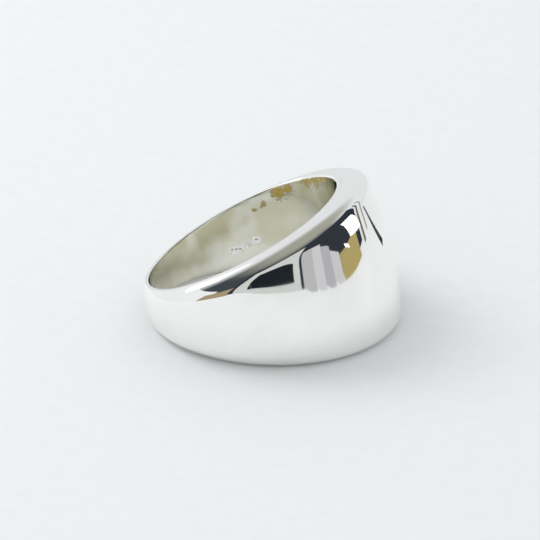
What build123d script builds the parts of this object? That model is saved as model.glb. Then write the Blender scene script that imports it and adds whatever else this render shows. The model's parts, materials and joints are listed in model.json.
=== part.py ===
"""Signet ring with a hollow, lined head, lying on one side edge.  Millimetres, +Z up.

The two side edges of the band are flat planes that open like a wedge towards the head, so
the ring lies flat on the lower one and its bore axis leans back by half the wedge angle.
The head points along +X, and z = 0 is the surface that the ring lies on.
"""
import os
from math import atan, cos, radians, sin

from build123d import *

# Bore
bore_diameter = 17.0
# Width of the band, measured along the bore wall
head_width = 12.0
back_width = 3.2
# Wall of the band, from the bore wall to the crown
head_wall = 3.1
side_wall = 2.2
back_wall = 0.6
# How far the crown stands above the side edges
head_crown = 0.45
side_crown = 0.6
back_crown = 0.15
# Rounding of the outer edges
head_edge = 0.9
shank_edge = 0.8
# Hollow in the head
shell_wall = 0.9
shell_side_wall = 1.1
pocket_half_angle = 56
lining_wall = 0.45
lining_solder_gap = 0.08
# Solder seams across the band, as angles round the bore from the middle of the head
seam_thickness = 0.12
shoulder_seam_angle = 72
shank_seam_angle = 124
# Punched marks inside the band: angle, and height above the middle of the band
mark_depth = 0.12
mark_height = 0.7
bar_mark_width = 1.2
bar_mark_place = (116.4, -0.91)
dot_mark_place = (109.2, -0.67)
square_mark_place = (104.0, -0.54)
mark_row_slope = 11
mark_corner = 0.12
# Where the bore axis crosses the middle of the band, so that the whole ring is centred on z
bore_centre_x = -1.68

# Working allowances: spacing of the slices, how far they pass the side planes and the bore
# wall, and how far inside the bore wall the punches start
station_step = 12
pocket_stations = 9
overshoot = 1.0
mark_start = 0.2

bore_radius = bore_diameter / 2
middle_width = (head_width + back_width) / 2
side_slope = (head_width - back_width) / 2 / bore_diameter
lining_outer = bore_radius + lining_wall
shell_bore = lining_outer + lining_solder_gap
lean = atan(side_slope)
bore_centre_z = middle_width / 2 * cos(lean)
ring_plane = Plane(
    origin=(bore_centre_x, 0, bore_centre_z),
    x_dir=(cos(lean), 0, sin(lean)),
    z_dir=(-sin(lean), 0, cos(lean)),
)
lower_side = Plane.XY
upper_side = Plane(
    origin=ring_plane.from_local_coords((0, 0, middle_width / 2)),
    x_dir=(cos(2 * lean), 0, sin(2 * lean)),
    z_dir=(-sin(2 * lean), 0, cos(2 * lean)),
)


def round_the_band(back, side, head, angle):
    """Value at an angle round the bore, easing from the head to the sides to the back."""
    a = radians(angle)
    mean = (head + 2 * side + back) / 4
    return mean + (head - back) / 2 * cos(a) + (head - 2 * side + back) / 4 * cos(2 * a)


def wall_at(angle):
    return round_the_band(back_wall, side_wall, head_wall, angle)


def half_width_at(angle, radius):
    """Half the width of the band at this angle and this distance from the bore axis."""
    return middle_width / 2 + radius * cos(radians(angle)) * side_slope


def station(angle, radius=0.0, height=0.0):
    """Plane through the bore axis: local x points away from the axis, local y along it."""
    a = radians(angle)
    outward = ring_plane.x_dir * cos(a) + ring_plane.y_dir * sin(a)
    along = ring_plane.x_dir * -sin(a) + ring_plane.y_dir * cos(a)
    centre = ring_plane.origin + outward * radius + ring_plane.z_dir * height
    return Plane(origin=centre, x_dir=outward, z_dir=-along)


def band_section(angle):
    """Slice of the band: straight inside, arched outside, wider than the side planes."""
    crown = bore_radius + wall_at(angle)
    half_width = half_width_at(angle, crown)
    drop = round_the_band(back_crown, side_crown, head_crown, angle)
    reach = half_width + overshoot
    edge = crown - drop * (reach / half_width) ** 2
    core = bore_radius - overshoot
    with BuildSketch(station(angle)) as section:
        with BuildLine():
            ThreePointArc((edge, -reach), (crown, 0), (edge, reach))
            Polyline((edge, reach), (core, reach), (core, -reach), (edge, -reach))
        make_face()
    return section.sketch


def pocket_section(angle):
    """Slice of the hollow in the head, open towards the bore."""
    top = bore_radius + wall_at(angle) - head_crown - shell_wall
    half_width = half_width_at(angle, bore_radius) - shell_side_wall
    floor = lining_outer - lining_wall / 2
    with BuildSketch(station(angle)) as section:
        with BuildLine():
            Polyline((floor, -half_width), (top, -half_width), (top, half_width),
                     (floor, half_width), close=True)
        make_face()
    return section.sketch


def pocket():
    """Cut the head's hollow from the active part."""
    step = 2 * pocket_half_angle / (pocket_stations - 1)
    slices = [pocket_section(i * step - pocket_half_angle) for i in range(pocket_stations)]
    loft(sections=slices, mode=Mode.SUBTRACT)


def keep_after(angle, gap):
    """Cut away what lies before this angle and within the gap past it."""
    cut = station(angle)
    split(bisect_by=Plane(origin=cut.origin - cut.z_dir * gap, z_dir=-cut.z_dir), keep=Keep.TOP)


def keep_before(angle, gap):
    """Cut away what lies after this angle and within the gap before it."""
    cut = station(angle)
    split(bisect_by=Plane(origin=cut.origin + cut.z_dir * gap, z_dir=cut.z_dir), keep=Keep.TOP)


def keep_between(first, last):
    """Keep the sector between two angles, less half a seam at each end."""
    keep_after(first, seam_thickness / 2)
    keep_before(last, seam_thickness / 2)


def keep_between_sides():
    """Cut the active part down to what lies between the two flat sides."""
    split(bisect_by=lower_side, keep=Keep.TOP)
    split(bisect_by=upper_side, keep=Keep.BOTTOM)


def is_outer_rim(edge):
    """True for an edge where a flat side meets the crown."""
    middle = edge @ 0.5
    depth = min(abs(side.to_local_coords(middle).Z) for side in (lower_side, upper_side))
    across = ring_plane.to_local_coords(middle)
    return depth < 0.001 and across.X ** 2 + across.Y ** 2 > bore_radius ** 2


def band(first, last, edge_radius):
    """Solid band from one angle past the next, with flat sides and rounded outer edges."""
    count = round((last - first) / station_step) + 2
    step = (last - first) / (count - 2)
    loft(sections=[band_section(first + (i - 0.5) * step) for i in range(count)])
    keep_between_sides()
    curves = edges().filter_by(GeomType.LINE, reverse=True)
    fillet(curves.filter_by(is_outer_rim), edge_radius)


def bore_out(radius):
    """Cut a round hole along the bore axis through the active part."""
    with BuildSketch(ring_plane) as hole:
        Circle(radius)
    extrude(hole.sketch, amount=head_width, both=True, mode=Mode.SUBTRACT)


def sleeve(inner, outer, first, last):
    """Curved plate round the bore, as wide as the band, between two angles."""
    with BuildSketch(ring_plane) as annulus:
        Circle(outer)
        Circle(inner, mode=Mode.SUBTRACT)
    extrude(annulus.sketch, amount=head_width, both=True)
    keep_between_sides()
    keep_between(first, last)


def mark_plane(angle, height):
    """Plane just inside the bore wall, facing it, with local x along the row of marks."""
    spot = station(angle, bore_radius - mark_start, height)
    facing = Plane(origin=spot.origin, x_dir=-spot.z_dir, z_dir=spot.x_dir)
    return facing.rotated((0, 0, mark_row_slope))


def punch(mark):
    """Sink a mark's outline into the active part's bore wall."""
    extrude(mark.sketch, amount=mark_start + mark_depth, mode=Mode.SUBTRACT)


def write(piece, label):
    piece.part.label = label
    export_step(piece.part, f"parts/{label}.step")


os.makedirs("parts", exist_ok=True)

# Head: a domed shell with flat sides, hollow behind and open to the bore
with BuildPart() as head_shell:
    band(-shoulder_seam_angle, shoulder_seam_angle, head_edge)
    bore_out(shell_bore)
    keep_between(-shoulder_seam_angle, shoulder_seam_angle)
    pocket()
write(head_shell, "head_shell")

# Lining: the curved plate that closes the hollow and forms the front of the bore
with BuildPart() as head_lining:
    sleeve(bore_radius, lining_outer, -shoulder_seam_angle, shoulder_seam_angle)
write(head_lining, "head_lining")

# Solder between the lining and the shell, with the hollow's window left open
with BuildPart() as lining_solder:
    sleeve(lining_outer, shell_bore, -shoulder_seam_angle, shoulder_seam_angle)
    pocket()
write(lining_solder, "lining_solder")

# Back of the shank, from the far seam round to the near shoulder
with BuildPart() as shank_back:
    band(shank_seam_angle, 360 - shoulder_seam_angle, shank_edge)
    bore_out(bore_radius)
    keep_between(shank_seam_angle, 360 - shoulder_seam_angle)
write(shank_back, "shank_back")

# Side of the shank that carries the punched marks
with BuildPart() as shank_side:
    band(shoulder_seam_angle, shank_seam_angle, shank_edge)
    bore_out(bore_radius)
    keep_between(shoulder_seam_angle, shank_seam_angle)
    with BuildSketch(mark_plane(*bar_mark_place)) as bar_mark:
        SlotOverall(bar_mark_width, mark_height)
    punch(bar_mark)
    with BuildSketch(mark_plane(*dot_mark_place)) as dot_mark:
        Circle(mark_height / 2)
    punch(dot_mark)
    with BuildSketch(mark_plane(*square_mark_place)) as square_mark:
        RectangleRounded(mark_height, mark_height, mark_corner)
    punch(square_mark)
write(shank_side, "shank_side")

# Solder seams: thin slices of the whole band section
shoulder_edge = (head_edge + shank_edge) / 2
seams = {
    "seam_shoulder_far": (shoulder_seam_angle, shoulder_edge),
    "seam_shank": (shank_seam_angle, shank_edge),
    "seam_shoulder_near": (360 - shoulder_seam_angle, shoulder_edge),
}
for label, (angle, edge_radius) in seams.items():
    with BuildPart() as seam:
        band(angle - station_step, angle + station_step, edge_radius)
        bore_out(bore_radius)
        keep_after(angle, -seam_thickness / 2)
        keep_before(angle, -seam_thickness / 2)
    write(seam, label)
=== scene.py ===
import json
from math import atan2, copysign, cos, pi, radians, sin

import bpy
from mathutils import Matrix, Vector


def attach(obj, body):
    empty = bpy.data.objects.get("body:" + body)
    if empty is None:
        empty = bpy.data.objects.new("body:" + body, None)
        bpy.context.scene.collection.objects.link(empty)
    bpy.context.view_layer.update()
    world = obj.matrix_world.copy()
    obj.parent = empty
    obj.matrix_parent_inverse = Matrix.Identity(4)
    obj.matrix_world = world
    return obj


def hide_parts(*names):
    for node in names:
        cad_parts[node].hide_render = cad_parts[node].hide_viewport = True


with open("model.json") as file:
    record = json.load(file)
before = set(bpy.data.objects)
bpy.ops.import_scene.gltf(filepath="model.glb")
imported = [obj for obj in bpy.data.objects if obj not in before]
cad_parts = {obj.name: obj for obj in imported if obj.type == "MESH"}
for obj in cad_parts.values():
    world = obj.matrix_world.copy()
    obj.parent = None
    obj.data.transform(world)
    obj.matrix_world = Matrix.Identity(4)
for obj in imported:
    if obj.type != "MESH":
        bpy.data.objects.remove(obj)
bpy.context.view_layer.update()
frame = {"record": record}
bpy.ops.object.select_all(action="DESELECT")


# The head: a broad shell of sterling silver, raised over a stake and left hollow behind. Its two
# sides are filed flat and its outer edges rounded over, and it is soldered to the shank at both
# shoulders and buffed flush with it.
mounts = {mount["name"]: mount for mount in frame["record"]["mounts"]}
bore = mounts["finger_bore"]
bore_radius = bore["dims"]["r_mm"] / 1000
bore_axis = Vector(bore["axis"])
lean_back = Vector((0, 0, 1)).rotation_difference(bore_axis)
onto_the_ring = Matrix.Translation(bore["pos_m"]) @ lean_back.to_matrix().to_4x4()
head_width = bore["dims"]["length_mm"] / 1000
back_width = 0.0032
wall_sizes = {"back": 0.0006, "side": 0.0022, "head": 0.0031}
crown_drops = {"back": 0.00015, "side": 0.0006, "head": 0.00045}
belly_sags = {"back": 0, "side": 0.0002, "head": 0.0009}
upper_rounds = {"back": 0.00025, "side": 0.0012, "head": 0.0012}
lower_rounds = {"back": 0.00025, "side": 0.0013, "head": 0.0011}
crown_power = 2.4
shoulder_angle = radians(72)
seam_width = 0.00012
lining_wall = 0.00045
solder_gap = 0.00008
shell_bore = bore_radius + lining_wall + solder_gap
sharp_corner = 0.00001
pocket_angle = radians(56)
pocket_roof = 0.0009
pocket_side_wall = 0.0011
pocket_corner = pocket_side_wall / 4
round_steps = 48
smoothing = 3
blank_spacing = 0.00003
merge_within = 1e-7
saw_precision = 1e-8
crisp_angle = radians(35)

side_slope = (head_width - back_width) / 4 / bore_radius
subdivision_shrink = (2 + cos(2 * pi / round_steps)) / 3


def round_the_band(sizes, angle):
    """A size at an angle round the bore from the middle of the head, easing between three."""
    mean = (sizes["head"] + 2 * sizes["side"] + sizes["back"]) / 4
    sway = (sizes["head"] - 2 * sizes["side"] + sizes["back"]) / 4
    return mean + (sizes["head"] - sizes["back"]) / 2 * cos(angle) + sway * cos(2 * angle)


def half_width_at(angle, radius):
    """Half the band's width, which grows towards the head between the two flat sides."""
    return (head_width + back_width) / 4 + radius * cos(angle) * side_slope


def bore_wall_rows(angle, radius, corner):
    """The straight wall of a section from near its middle to its corner, and the corner."""
    side = half_width_at(angle, radius)
    rows = [(radius, side * share) for share in (0.25, 0.5, 0.75)]
    rows += [(radius, side - corner), (radius, side)]
    rows.append((radius + corner, half_width_at(angle, radius + corner)))
    return rows


def band_rows(angle, inner, corner, rounding, belly):
    """Half of the band's section at an angle, as (radius, height), from the bore to the crown."""
    crown = bore_radius + round_the_band(wall_sizes, angle)
    drop = round_the_band(crown_drops, angle)
    side = half_width_at(angle, crown - drop)

    def crown_at(height):
        return crown - drop * max(0, (height - belly) / (side - belly)) ** crown_power

    def below_crown(step_in, step_down):
        radius = crown_at(side - step_down) - step_in
        return radius, half_width_at(angle, radius) - step_down

    rows = bore_wall_rows(angle, inner, corner)
    land = crown - drop - rounding - inner - corner
    for share in (0.7, 0.35):
        rows.append(below_crown(rounding + land * share, 0))
    for turn in (0, 15, 30, 45, 60, 75, 90):
        rows.append(below_crown(rounding * (1 - sin(radians(turn))),
                                rounding * (1 - cos(radians(turn)))))
    across = rows[-1][1]
    return rows + [(crown_at(across * share), across * share) for share in (0.8, 0.6, 0.4, 0.2)]


def closed_section(inner, above, outer, below):
    """A section from its inner middle up one half and back along the other."""
    return ([(inner, 0)] + above + [(outer, 0)]
            + [(radius, -height) for radius, height in reversed(below)])


def band_section(angle, inner, corner):
    """The band's section: the belly of the crown hangs a little below the middle of the band."""
    sag = round_the_band(belly_sags, angle)
    above = band_rows(angle, inner, corner, round_the_band(upper_rounds, angle), -sag)
    below = band_rows(angle, inner, corner, round_the_band(lower_rounds, angle), sag)
    return closed_section(inner, above, bore_radius + round_the_band(wall_sizes, angle), below)


def pocket_section(angle):
    """The hollow behind the head: flat roof and straight walls, open towards the bore."""
    roof = bore_radius + round_the_band(wall_sizes, angle) - pocket_roof
    roof -= round_the_band(crown_drops, angle)
    floor = bore_radius + lining_wall - sharp_corner
    tall = half_width_at(angle, bore_radius) - pocket_side_wall
    half = [(floor, tall / 2), (floor, tall - pocket_corner), (floor, tall)]
    half += [(floor + pocket_corner, tall), (roof - pocket_corner, tall), (roof, tall)]
    half += [(roof, tall - pocket_corner), (roof, tall / 2)]
    return closed_section(floor, half, roof, half)


def spin_band(name, section_at):
    """Turn a section round the bore, set each slice to its own section, and smooth the whole."""
    slices = [section_at(step * 2 * pi / round_steps) for step in range(round_steps)]
    bpy.ops.mesh.primitive_circle_add(vertices=len(slices[0]), radius=bore_radius)
    band = bpy.context.object
    band.name = band.data.name = name
    places = band.data.attributes.new("place", "INT", "POINT")
    places.data.foreach_set("value", range(len(slices[0])))
    for place, vertex in enumerate(band.data.vertices):
        vertex.co = 2 * bore_radius, 0, place * blank_spacing
    bpy.ops.object.mode_set(mode="EDIT")
    bpy.ops.mesh.select_all(action="SELECT")
    bpy.ops.mesh.spin(steps=round_steps, angle=2 * pi, center=(0, 0, 0), axis=(0, 0, 1))
    bpy.ops.object.mode_set(mode="OBJECT")
    places = [item.value for item in band.data.attributes["place"].data]
    for place, vertex in zip(places, band.data.vertices):
        step = round(atan2(vertex.co.y, vertex.co.x) / (2 * pi) * round_steps) % round_steps
        angle = step * 2 * pi / round_steps
        radius, height = slices[step][place]
        vertex.co.xy = Vector((cos(angle), sin(angle))) * radius / subdivision_shrink
        vertex.co.z = height
    bpy.ops.object.mode_set(mode="EDIT")
    bpy.ops.mesh.select_all(action="SELECT")
    bpy.ops.mesh.remove_doubles(threshold=merge_within)
    bpy.ops.mesh.normals_make_consistent(inside=False)
    bpy.ops.object.mode_set(mode="OBJECT")
    band.data.attributes.remove(band.data.attributes["place"])
    bpy.ops.object.modifier_add(type="SUBSURF")
    band.modifiers[0].levels = band.modifiers[0].render_levels = smoothing
    bpy.ops.object.modifier_apply(modifier=band.modifiers[0].name)
    return band


def saw(angle, gap, keep_after):
    """Saw through the active band at an angle, less a gap for the solder, and close the cut."""
    along = Vector((-sin(angle), cos(angle), 0)) * (1 if keep_after else -1)
    bpy.ops.object.mode_set(mode="EDIT")
    bpy.ops.mesh.select_all(action="SELECT")
    bpy.ops.mesh.bisect(plane_co=along * gap, plane_no=along, clear_inner=True,
                        threshold=saw_precision)
    bpy.ops.mesh.select_all(action="SELECT")
    bpy.ops.mesh.fill_holes(sides=0)
    bpy.ops.object.mode_set(mode="OBJECT")


def saw_both_ends(first, last, gap):
    """Keep the active band between two angles, less the gap at each end.

    The first cut drops the opposite half of the band, which the other two would not clear."""
    saw((first + last - pi) / 2, 0, True)
    saw(first, gap, True)
    saw(last, gap, False)


def cut_away(piece, tool):
    """Cut one solid out of another, and put the cutter away."""
    bpy.ops.object.select_all(action="DESELECT")
    bpy.context.view_layer.objects.active = piece
    piece.select_set(True)
    bpy.ops.object.modifier_add(type="BOOLEAN")
    piece.modifiers[0].operation = "DIFFERENCE"
    piece.modifiers[0].solver = "EXACT"
    piece.modifiers[0].object = tool
    bpy.ops.object.modifier_apply(modifier=piece.modifiers[0].name)
    bpy.data.objects.remove(tool)


def hollow_out(piece):
    """Cut the head's hollow out of a piece."""
    pocket = spin_band("pocket", pocket_section)
    saw_both_ends(-pocket_angle, pocket_angle, 0)
    cut_away(piece, pocket)


def set_on_ring(piece, node):
    """Lean the piece back onto the ring's own bore axis, and let it stand for its node."""
    piece.matrix_world = onto_the_ring
    bpy.ops.object.transform_apply(location=True, rotation=True, scale=True)
    bpy.ops.object.shade_smooth_by_angle(angle=crisp_angle)
    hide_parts(node)
    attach(piece, "root")
    bpy.ops.object.select_all(action="DESELECT")


def add_node(tree, kind, inputs, **settings):
    """Place a node, set its own settings, and link or set its inputs by name or number."""
    node = tree.nodes.new("ShaderNode" + kind)
    for name, value in settings.items():
        setattr(node, name, value)
    for name, value in inputs.items():
        if isinstance(value, bpy.types.NodeSocket):
            tree.links.new(value, node.inputs[name])
        else:
            node.inputs[name].default_value = value
    return node


def remap(tree, value, low, high):
    """Stretch a range of a value to the range from 0 to 1, smoothly at both ends."""
    node = add_node(tree, "MapRange", {"Value": value, "From Min": low, "From Max": high},
                    interpolation_type="SMOOTHSTEP")
    return node.outputs["Result"]


def calculate(tree, operation, *values):
    """Work out a value with a math node."""
    node = add_node(tree, "Math", dict(enumerate(values)), operation=operation)
    return node.outputs["Value"]


def noise(tree, coordinates, scale, detail):
    """A cloudy value over the surface."""
    node = add_node(tree, "TexNoise", {"Vector": coordinates, "Scale": scale, "Detail": detail})
    return node.outputs[0]


def mix_colours(tree, factor, first, second):
    """Blend two colours by a factor."""
    node = add_node(tree, "Mix", {0: factor, 6: first, 7: second}, data_type="RGBA")
    return node.outputs[2]


def new_effect(name, inputs, outputs):
    """An effect that is placed more than once: a node group with named inputs and outputs."""
    tree = bpy.data.node_groups.new(name, "ShaderNodeTree")
    for label, (kind, value) in inputs.items():
        socket = tree.interface.new_socket(label, in_out="INPUT", socket_type="NodeSocket" + kind)
        socket.default_value = value
    for label, kind in outputs.items():
        tree.interface.new_socket(label, in_out="OUTPUT", socket_type="NodeSocket" + kind)
    return tree, tree.nodes.new("NodeGroupInput"), tree.nodes.new("NodeGroupOutput")


def new_finish(name, metallic):
    """A new material, its node tree and its shader."""
    material = bpy.data.materials.new(name)
    material.use_nodes = True
    shader = material.node_tree.nodes["Principled BSDF"]
    shader.inputs["Metallic"].default_value = metallic
    shader.inputs["IOR"].default_value = 1.45
    return material, material.node_tree, shader


def set_bump(tree, shader, height, distance, strength):
    """Raise the surface by a height, given the depth of its full stroke in metres."""
    bump = add_node(tree, "Bump", {"Height": height, "Distance": distance, "Strength": strength})
    tree.links.new(bump.outputs["Normal"], shader.inputs["Normal"])


buffing, start, end = new_effect(
    "buffing_lines",
    {"Clean": ("Color", (1, 1, 1, 1)), "Smudged": ("Color", (1, 1, 1, 1)),
     "Line Scale": ("Float", 5000), "Smudge Scale": ("Float", 260),
     "Least Roughness": ("Float", 0.02), "Most Roughness": ("Float", 0.06)},
    {"Color": "Color", "Roughness": "Float", "Height": "Float"})
line_stretch = (0.03, 0.03, 1)
surface = add_node(buffing, "TexCoord", {}).outputs["Object"]
along_band = add_node(buffing, "Mapping", {
    "Vector": surface, "Rotation": lean_back.inverted().to_euler(), "Scale": line_stretch})
lines = noise(buffing, along_band.outputs["Vector"], start.outputs["Line Scale"], 2)
smudges = noise(buffing, surface, start.outputs["Smudge Scale"], 4)
smudged = remap(buffing, smudges, 0.42, 0.68)
roughened = add_node(buffing, "MapRange", {
    "Value": smudged, "To Min": start.outputs["Least Roughness"],
    "To Max": start.outputs["Most Roughness"]})
tint = mix_colours(buffing, smudged, start.outputs["Clean"], start.outputs["Smudged"])
buffing.links.new(tint, end.inputs["Color"])
buffing.links.new(roughened.outputs["Result"], end.inputs["Roughness"])
buffing.links.new(lines, end.inputs["Height"])


def buff(tree, shader, values, line_depth, line_strength):
    """Give a silver its buffed colour, roughness and fine lines round the band."""
    effect = add_node(tree, "Group", values, node_tree=buffing)
    tree.links.new(effect.outputs["Color"], shader.inputs["Base Color"])
    tree.links.new(effect.outputs["Roughness"], shader.inputs["Roughness"])
    set_bump(tree, shader, effect.outputs["Height"], line_depth, line_strength)


polish, tree, shader = new_finish("mirror_polish", 1)
buff(tree, shader, {
    "Clean": (0.985, 0.982, 0.972, 1), "Smudged": (0.955, 0.952, 0.938, 1),
    "Least Roughness": 0.025, "Most Roughness": 0.055}, 0.000001, 0.08)

head = spin_band("head", lambda angle: band_section(angle, shell_bore, sharp_corner))
saw_both_ends(-shoulder_angle, shoulder_angle, seam_width / 2)
hollow_out(head)
head.data.materials.append(polish)
set_on_ring(head, "head_shell")


# The lining: a strip of plain silver sheet, bent round inside the head to close its hollow. It
# is only papered and rubbed smooth, so it is softer and warmer to look at than the outside. A
# little dried polishing compound is left under the far rim, there and on the shank beside it.
lining_corner = 0.00032
bright_silver = (0.96, 0.955, 0.89, 1)
dull_silver = (0.74, 0.72, 0.57, 1)
compound_brown = (0.50, 0.37, 0.09, 1)

bore_finish, tree, shader = new_finish("papered_silver", 1)
surface = add_node(tree, "TexCoord", {}).outputs["Object"]
dull = remap(tree, noise(tree, surface, 210, 3), 0.38, 0.66)
worn_colour = mix_colours(tree, dull, bright_silver, dull_silver)
worn_roughness = add_node(tree, "MapRange", {"Value": dull, "To Min": 0.05, "To Max": 0.17})
waves = noise(tree, surface, 330, 1)
grit = calculate(tree, "MULTIPLY", noise(tree, surface, 9000, 2), 0.03)

compound, start, end = new_effect(
    "dried_compound", {"Centre": ("Vector", (0, 0, 0)), "Reach": ("Float", 0.0006)},
    {"Mask": "Float"})
spot_surface = add_node(compound, "TexCoord", {}).outputs["Object"]
apart = add_node(compound, "VectorMath", {0: spot_surface, 1: start.outputs["Centre"]},
                 operation="DISTANCE")
near = calculate(compound, "DIVIDE", apart.outputs["Value"], start.outputs["Reach"])
crumbs = add_node(compound, "TexNoise", {"Vector": spot_surface, "Scale": 3800, "Detail": 4,
                                         "Roughness": 0.65})
ragged = calculate(compound, "MULTIPLY_ADD", crumbs.outputs[0], 2.6, -0.75)
edge = calculate(compound, "SUBTRACT", ragged, near)
compound.links.new(remap(compound, edge, -0.25, 0.2), end.inputs["Mask"])

# Each spot of compound: degrees round the bore, distance below the rim, and reach
mask = 0
for degrees, below_rim, reach in (
        (84, 0.00055, 0.00095), (78, 0.00045, 0.00080), (63, 0.00030, 0.00085),
        (55, 0.00030, 0.00095), (49, 0.00030, 0.00070), (95, 0.00110, 0.00035),
        (101, 0.00120, 0.00026)):
    angle = radians(degrees)
    height = half_width_at(angle, bore_radius) - below_rim
    centre = onto_the_ring @ Vector((bore_radius * cos(angle), bore_radius * sin(angle), height))
    spot = add_node(tree, "Group", {"Centre": centre, "Reach": reach}, node_tree=compound)
    mask = calculate(tree, "MAXIMUM", mask, spot.outputs["Mask"])
tree.links.new(mix_colours(tree, mask, worn_colour, compound_brown), shader.inputs["Base Color"])
tree.links.new(calculate(tree, "SUBTRACT", 1, mask), shader.inputs["Metallic"])
tree.links.new(calculate(tree, "MAXIMUM", worn_roughness.outputs["Result"], mask),
               shader.inputs["Roughness"])
worn_height = calculate(tree, "ADD", waves, grit)
set_bump(tree, shader, calculate(tree, "MULTIPLY_ADD", mask, 0.5, worn_height), 0.00016, 0.7)


def sleeve_section(angle, inner, outer, corner):
    """Section of a thin curved plate, as wide as the band."""
    face = bore_wall_rows(angle, inner, corner)
    back = bore_wall_rows(angle, outer, sharp_corner)[:-1]
    back.append((outer - sharp_corner, half_width_at(angle, outer - sharp_corner)))
    half = face + back[::-1]
    return closed_section(inner, half, outer, half)


def finish_bore_wall(piece, material):
    """Give the faces of the bore wall their own, softer finish."""
    piece.data.materials.append(material)
    for face in piece.data.polygons:
        if face.center.xy.length < bore_radius + sharp_corner:
            face.material_index = 1


lining = spin_band("lining", lambda angle: sleeve_section(
    angle, bore_radius, bore_radius + lining_wall, lining_corner))
saw_both_ends(-shoulder_angle, shoulder_angle, seam_width / 2)
lining.data.materials.append(polish)
finish_bore_wall(lining, bore_finish)
set_on_ring(lining, "head_lining")


# The solder under the lining: a thin sheet of silver solder between lining and shell, with the
# hollow's window left open. Only its edge shows, as a hairline in each flat side.
sheet_corner = sharp_corner / 3
solder, tree, shader = new_finish("flowed_solder", 1)
buff(tree, shader, {
    "Clean": (0.975, 0.970, 0.955, 1), "Smudged": (0.95, 0.94, 0.91, 1), "Line Scale": 7000,
    "Least Roughness": 0.06, "Most Roughness": 0.14}, 0.000002, 0.15)

lining_solder = spin_band("lining_solder_sheet", lambda angle: sleeve_section(
    angle, bore_radius + lining_wall, shell_bore, sheet_corner))
saw_both_ends(-shoulder_angle, shoulder_angle, seam_width / 2)
hollow_out(lining_solder)
lining_solder.data.materials.append(solder)
set_on_ring(lining_solder, "lining_solder")


# The shank: a solid band of sterling silver in two lengths, a long one round the back and a
# short one at the far side. Both are cut from one blank, drawn down thin and narrow to the back,
# and the short one is struck with three small marks inside.
shank_seam_angle = radians(124)
near_shoulder = 2 * pi - shoulder_angle
bore_corner = 0.0003
mark_depth = 0.00012
mark_height = 0.0007
mark_row_slope = radians(11)
punch_start = 0.0002
bar_length = 0.0012
bar_place = (116.4, -0.00091)
pip_radius = 0.00012
pip_spacing = 0.00034
pip_sink = 0.00003
dot_place = (109.2, -0.00067)
dot_ring_radius = 0.00017
dot_ring_thickness = 0.00006
square_corner = 0.00012
square_place = (104.0, -0.00054)
pyramid_foot = 0.00024
pyramid_tip = 0.00008
pyramid_height = 0.00016
band_blank = spin_band("band_blank", lambda angle: band_section(angle, bore_radius, bore_corner))


def cut_from_blank(name, first, last, gap):
    """Copy the blank with a mesh of its own, and saw the copy to length."""
    bpy.ops.object.select_all(action="DESELECT")
    bpy.context.view_layer.objects.active = band_blank
    band_blank.select_set(True)
    bpy.ops.object.duplicate()
    piece = bpy.context.object
    piece.name = piece.data.name = name
    saw_both_ends(first, last, gap)
    return piece


def punch(length, corner):
    """A punch whose face is a circle drawn apart into a slot, a dot or a rounded square."""
    bpy.ops.object.select_all(action="DESELECT")
    bpy.ops.mesh.primitive_circle_add(vertices=32, radius=corner, fill_type="NGON",
                                      location=(0, 0, -punch_start), rotation=(0, 0, pi / 32))
    tool = bpy.context.object
    bpy.ops.object.transform_apply(location=True, rotation=True, scale=True)
    for vertex in tool.data.vertices:
        vertex.co.x += copysign(length / 2 - corner, vertex.co.x)
        vertex.co.y += copysign(mark_height / 2 - corner, vertex.co.y)
    bpy.ops.object.mode_set(mode="EDIT")
    bpy.ops.mesh.select_all(action="SELECT")
    bpy.ops.mesh.extrude_region_move(
        TRANSFORM_OT_translate={"value": (0, 0, punch_start + mark_depth)})
    bpy.ops.mesh.select_all(action="SELECT")
    bpy.ops.mesh.normals_make_consistent(inside=False)
    bpy.ops.object.mode_set(mode="OBJECT")
    return tool


def strike(piece, tool, degrees, height):
    """Strike the punch into the piece's bore wall at an angle and a height above its middle."""
    angle = radians(degrees)
    outward = Vector((cos(angle), sin(angle), 0))
    along = Vector((-sin(angle), cos(angle), 0))
    facing = Matrix((along, Vector((0, 0, 1)), outward)).transposed().to_4x4()
    spot = Matrix.Translation(outward * bore_radius + Vector((0, 0, height)))
    tool.data.transform(spot @ facing @ Matrix.Rotation(mark_row_slope, 4, "Z"))
    cut_away(piece, tool)


shank_back = cut_from_blank("shank_back_band", shank_seam_angle, near_shoulder, seam_width / 2)
shank_back.data.materials.append(polish)
finish_bore_wall(shank_back, bore_finish)
set_on_ring(shank_back, "shank_back")

shank_side = cut_from_blank("shank_side_band", shoulder_angle, shank_seam_angle, seam_width / 2)
shank_side.data.materials.append(polish)
finish_bore_wall(shank_side, bore_finish)

bar_punch = punch(bar_length, mark_height / 2)
for shift in (-pip_spacing, 0, pip_spacing):
    bpy.ops.mesh.primitive_uv_sphere_add(segments=16, ring_count=8, radius=pip_radius,
                                         location=(shift, 0, mark_depth + pip_sink))
    cut_away(bar_punch, bpy.context.object)
strike(shank_side, bar_punch, *bar_place)

dot_punch = punch(mark_height, mark_height / 2)
bpy.ops.mesh.primitive_torus_add(
    major_segments=24, minor_segments=8, major_radius=dot_ring_radius,
    minor_radius=dot_ring_thickness, location=(0, 0, mark_depth))
cut_away(dot_punch, bpy.context.object)
strike(shank_side, dot_punch, *dot_place)

square_punch = punch(mark_height, square_corner)
bpy.ops.mesh.primitive_cone_add(vertices=4, radius1=pyramid_foot, radius2=pyramid_tip,
                                depth=pyramid_height, location=(0, 0, mark_depth),
                                rotation=(pi, 0, 0))
cut_away(square_punch, bpy.context.object)
strike(shank_side, square_punch, *square_place)
set_on_ring(shank_side, "shank_side")


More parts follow.
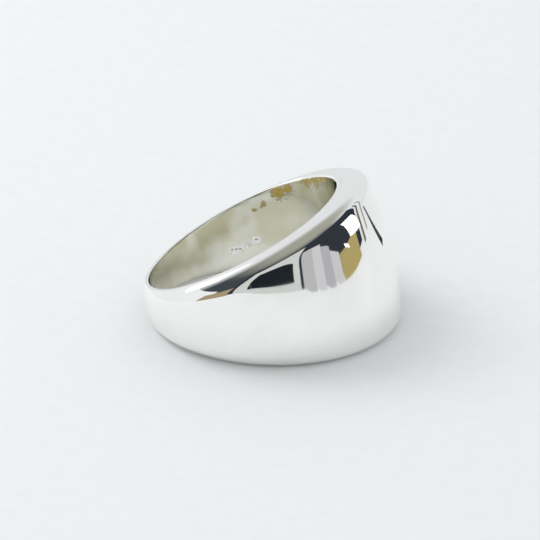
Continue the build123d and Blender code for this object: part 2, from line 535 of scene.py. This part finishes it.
# The seams: three thin slices of silver solder across the whole band, at both shoulders and part
# of the way round the far side. They are run in with the torch and filed flush, so that they show
# only as faint lines.
for name, node, angle in (("solder_shoulder_far", "seam_shoulder_far", shoulder_angle),
                          ("solder_shank", "seam_shank", shank_seam_angle),
                          ("solder_shoulder_near", "seam_shoulder_near", near_shoulder)):
    seam = cut_from_blank(name, angle, angle, -seam_width / 2)
    seam.data.materials.append(solder)
    finish_bore_wall(seam, bore_finish)
    set_on_ring(seam, node)
bpy.data.objects.remove(band_blank)


# The table: a wide sheet of pale, slightly blue paper with a faint cloudiness, which the ring
# lies on. It is no part of the ring.
table_radius = 2.0
bpy.ops.mesh.primitive_circle_add(vertices=128, radius=table_radius, fill_type="NGON")
table = bpy.context.object
table.name = "table"
paper, tree, shader = new_finish("pale_paper", 0)
surface = add_node(tree, "TexCoord", {}).outputs["Object"]
cloudy = remap(tree, noise(tree, surface, 700, 4), 0.3, 0.7)
paper_colour = mix_colours(tree, cloudy, (0.855, 0.875, 0.885, 1), (0.87, 0.892, 0.90, 1))
tree.links.new(paper_colour, shader.inputs["Base Color"])
shader.inputs["Roughness"].default_value = 0.7
shader.inputs["Specular IOR Level"].default_value = 0.1
table.data.materials.append(paper)


# The studio: even light from a pale room, with a dim ceiling and dark cloth in front that only
# the polish sees, and a few plain boards and lamps hung round the table for it to mirror.
studio = bpy.data.worlds.new("studio")
bpy.context.scene.world = studio
studio.use_nodes = True
tree = studio.node_tree
backdrop = tree.nodes["Background"]
backdrop.inputs["Color"].default_value = (0.82, 0.86, 0.872, 1)
even = add_node(tree, "Background", {"Color": (1, 1, 1, 1), "Strength": 0.81})
front_colour = (0.05, 0.06, 0.07, 1)
back_colour = (0.75, 0.77, 0.78, 1)
ceiling_colour = (0.36, 0.36, 0.30, 1)
direction = add_node(tree, "TexCoord", {}).outputs["Generated"]
split = add_node(tree, "SeparateXYZ", {0: direction})
behind = remap(tree, split.outputs["Y"], -0.15, 0.35)
overhead = remap(tree, split.outputs["Z"], 0.6, 0.99)
walls = mix_colours(tree, behind, front_colour, back_colour)
room = add_node(tree, "Background", {"Color": mix_colours(tree, overhead, walls, ceiling_colour)})
ray = add_node(tree, "LightPath", {})
mirrored = add_node(tree, "MixShader", {0: ray.outputs["Is Glossy Ray"], 1: even.outputs[0],
                                        2: room.outputs[0]})
seen = add_node(tree, "MixShader", {0: ray.outputs["Is Camera Ray"], 1: mirrored.outputs[0],
                                    2: backdrop.outputs[0]})
tree.links.new(seen.outputs[0], tree.nodes["World Output"].inputs["Surface"])
bpy.context.scene.view_settings.view_transform = "Standard"


def glowing(name, colour, strength):
    """A plain glowing surface for a board, cloth or lamp."""
    material, tree, shader = new_finish(name, 0)
    shader.inputs["Base Color"].default_value = (0, 0, 0, 1)
    shader.inputs["Specular IOR Level"].default_value = 0
    shader.inputs["Emission Color"].default_value = colour + (1,)
    shader.inputs["Emission Strength"].default_value = strength
    return material


def hide_from_camera(card):
    """Only the ring's polish sees the card."""
    card.visible_camera = card.visible_diffuse = card.visible_shadow = False


# A dark cloth hangs round the front and the right, from the table up
curtain_radius = 0.108
curtain_height = 0.11
curtain_start = radians(60)
curtain_end = radians(202)
bpy.ops.mesh.primitive_cylinder_add(vertices=144, radius=curtain_radius, depth=curtain_height,
                                    end_fill_type="NOTHING", location=(0, 0, curtain_height / 2))
curtain = bpy.context.object
curtain.name = "curtain"
bpy.ops.object.mode_set(mode="EDIT")
bpy.ops.mesh.select_mode(type="FACE")
bpy.ops.mesh.select_all(action="DESELECT")
bpy.ops.object.mode_set(mode="OBJECT")
for face in curtain.data.polygons:
    turn = atan2(face.center.x, face.center.y) % (2 * pi)
    face.select = not curtain_start < turn < curtain_end
bpy.ops.object.mode_set(mode="EDIT")
bpy.ops.mesh.delete(type="FACE")
bpy.ops.object.mode_set(mode="OBJECT")
curtain.data.materials.append(glowing("curtain_cloth", (0.03, 0.035, 0.045), 1))
hide_from_camera(curtain)

# Each card: the direction it hangs in, in degrees clockwise from behind, its distance, the height
# of its middle, its width and height, how it is skewed, and its colour and strength
for name, azimuth, distance, middle, width, height, rise, slant, taper, colour, strength in (
        ("white_board", 163, 0.085, 0.0375, 0.104, 0.075, 0, 0, 0, (0.60, 0.62, 0.60), 1),
        ("black_flag", 159, 0.082, 0.0176, 0.064, 0.026, 0.0118, 0, 0.54, (0.012, 0.016, 0.02), 1),
        ("fan_blade_1", 97, 0.0840, 0.0060, 0.016, 0.012, 0.004, 0, 0, (0.58, 0.58, 0.59), 1),
        ("fan_blade_2", 106, 0.0835, 0.0085, 0.016, 0.017, 0.004, 0, 0, (0.44, 0.44, 0.47), 1),
        ("fan_blade_3", 115, 0.0830, 0.0115, 0.016, 0.023, 0.004, 0, 0, (0.60, 0.60, 0.61), 1),
        ("fan_blade_4", 124, 0.0825, 0.0135, 0.016, 0.027, 0.004, 0, 0, (0.48, 0.48, 0.50), 1),
        ("ochre_board", 79, 0.083, 0.0040, 0.036, 0.010, 0, 0, 0, (0.42, 0.34, 0.14), 1),
        ("square_light", 71, 0.080, 0.0136, 0.022, 0.013, 0.0038, -0.013, 0, (1, 1, 1), 3),
        ("dot_light", 81.5, 0.080, 0.0087, 0.0060, 0.0014, 0.0016, -0.0016, 0, (1, 1, 1), 3),
        ("stand_1", 57, 0.083, 0.0300, 0.004, 0.060, 0, 0, 0, (0.14, 0.14, 0.10), 1),
        ("stand_2", 50, 0.083, 0.0300, 0.003, 0.060, 0, 0, 0, (0.32, 0.32, 0.27), 1),
        ("brown_board", 217, 0.083, 0.0120, 0.050, 0.024, 0, 0, 0, (0.36, 0.30, 0.18), 1),
        ("left_wall", 275, 0.110, 0.0250, 0.260, 0.070, 0, 0, 0, (0.85, 0.87, 0.87), 1),
        ("window", 295, 0.100, 0.0580, 0.044, 0.034, 0, 0, 0, (1, 1, 1), 2)):
    away = Vector((sin(radians(azimuth)), cos(radians(azimuth)), 0))
    clockwise = Vector((away.y, -away.x, 0))
    bpy.ops.mesh.primitive_plane_add(size=1)
    card = bpy.context.object
    card.name = name
    for corner in card.data.vertices:
        across, up = corner.co.xy
        corner.co = away * distance + clockwise * (across * width - up * slant)
        corner.co.z = middle + across * rise + up * height * (1 + 2 * across * taper)
    card.data.materials.append(glowing(name + "_glow", colour, strength))
    hide_from_camera(card)

# A thin dark rod lies on the table behind the head
rod_middle = Vector((0.052, 0.0565, 0.0003))
rod_line = Vector((0.064, 0.063, 0))
rod_thickness = 0.0024
bpy.ops.mesh.primitive_plane_add(size=1)
rod = bpy.context.object
rod.name = "rod"
rod.data.transform(Matrix.Translation(rod_middle)
                   @ rod_line.to_track_quat("X", "Z").to_matrix().to_4x4()
                   @ Matrix.Diagonal((rod_line.length, rod_thickness, 1, 1)))
rod.data.materials.append(glowing("rod_black", (0.05, 0.05, 0.045), 1))
hide_from_camera(rod)
bpy.ops.object.select_all(action="DESELECT")

# A soft lamp, high on the left, throws the shadow; the polish doesn't mirror it
key_place = Vector((-0.25, 0.05, 0.3))
bpy.ops.object.light_add(type="AREA", location=key_place)
key = bpy.context.object
key.rotation_euler = key_place.to_track_quat("Z", "Y").to_euler()
key.data.size = 0.22
key.data.energy = 0.42
key.visible_glossy = False


# The camera: it looks down at the near side of the ring through a long lens, from a little to
# the head's side.
look_at = Vector((-0.000246, 0, 0.004094))
turn = radians(14.34)
lift = radians(25.76)
distance = 0.35
view_from = Vector((sin(turn) * cos(lift), -cos(turn) * cos(lift), sin(lift)))
bpy.ops.object.camera_add(location=look_at + view_from * distance)
camera = bpy.context.object
camera.rotation_mode = "QUATERNION"
camera.rotation_quaternion = (-view_from).to_track_quat("-Z", "Y")
camera.data.lens = 282.5
camera.data.sensor_width = 36
camera.data.clip_start = 0.01
bpy.context.scene.camera = camera
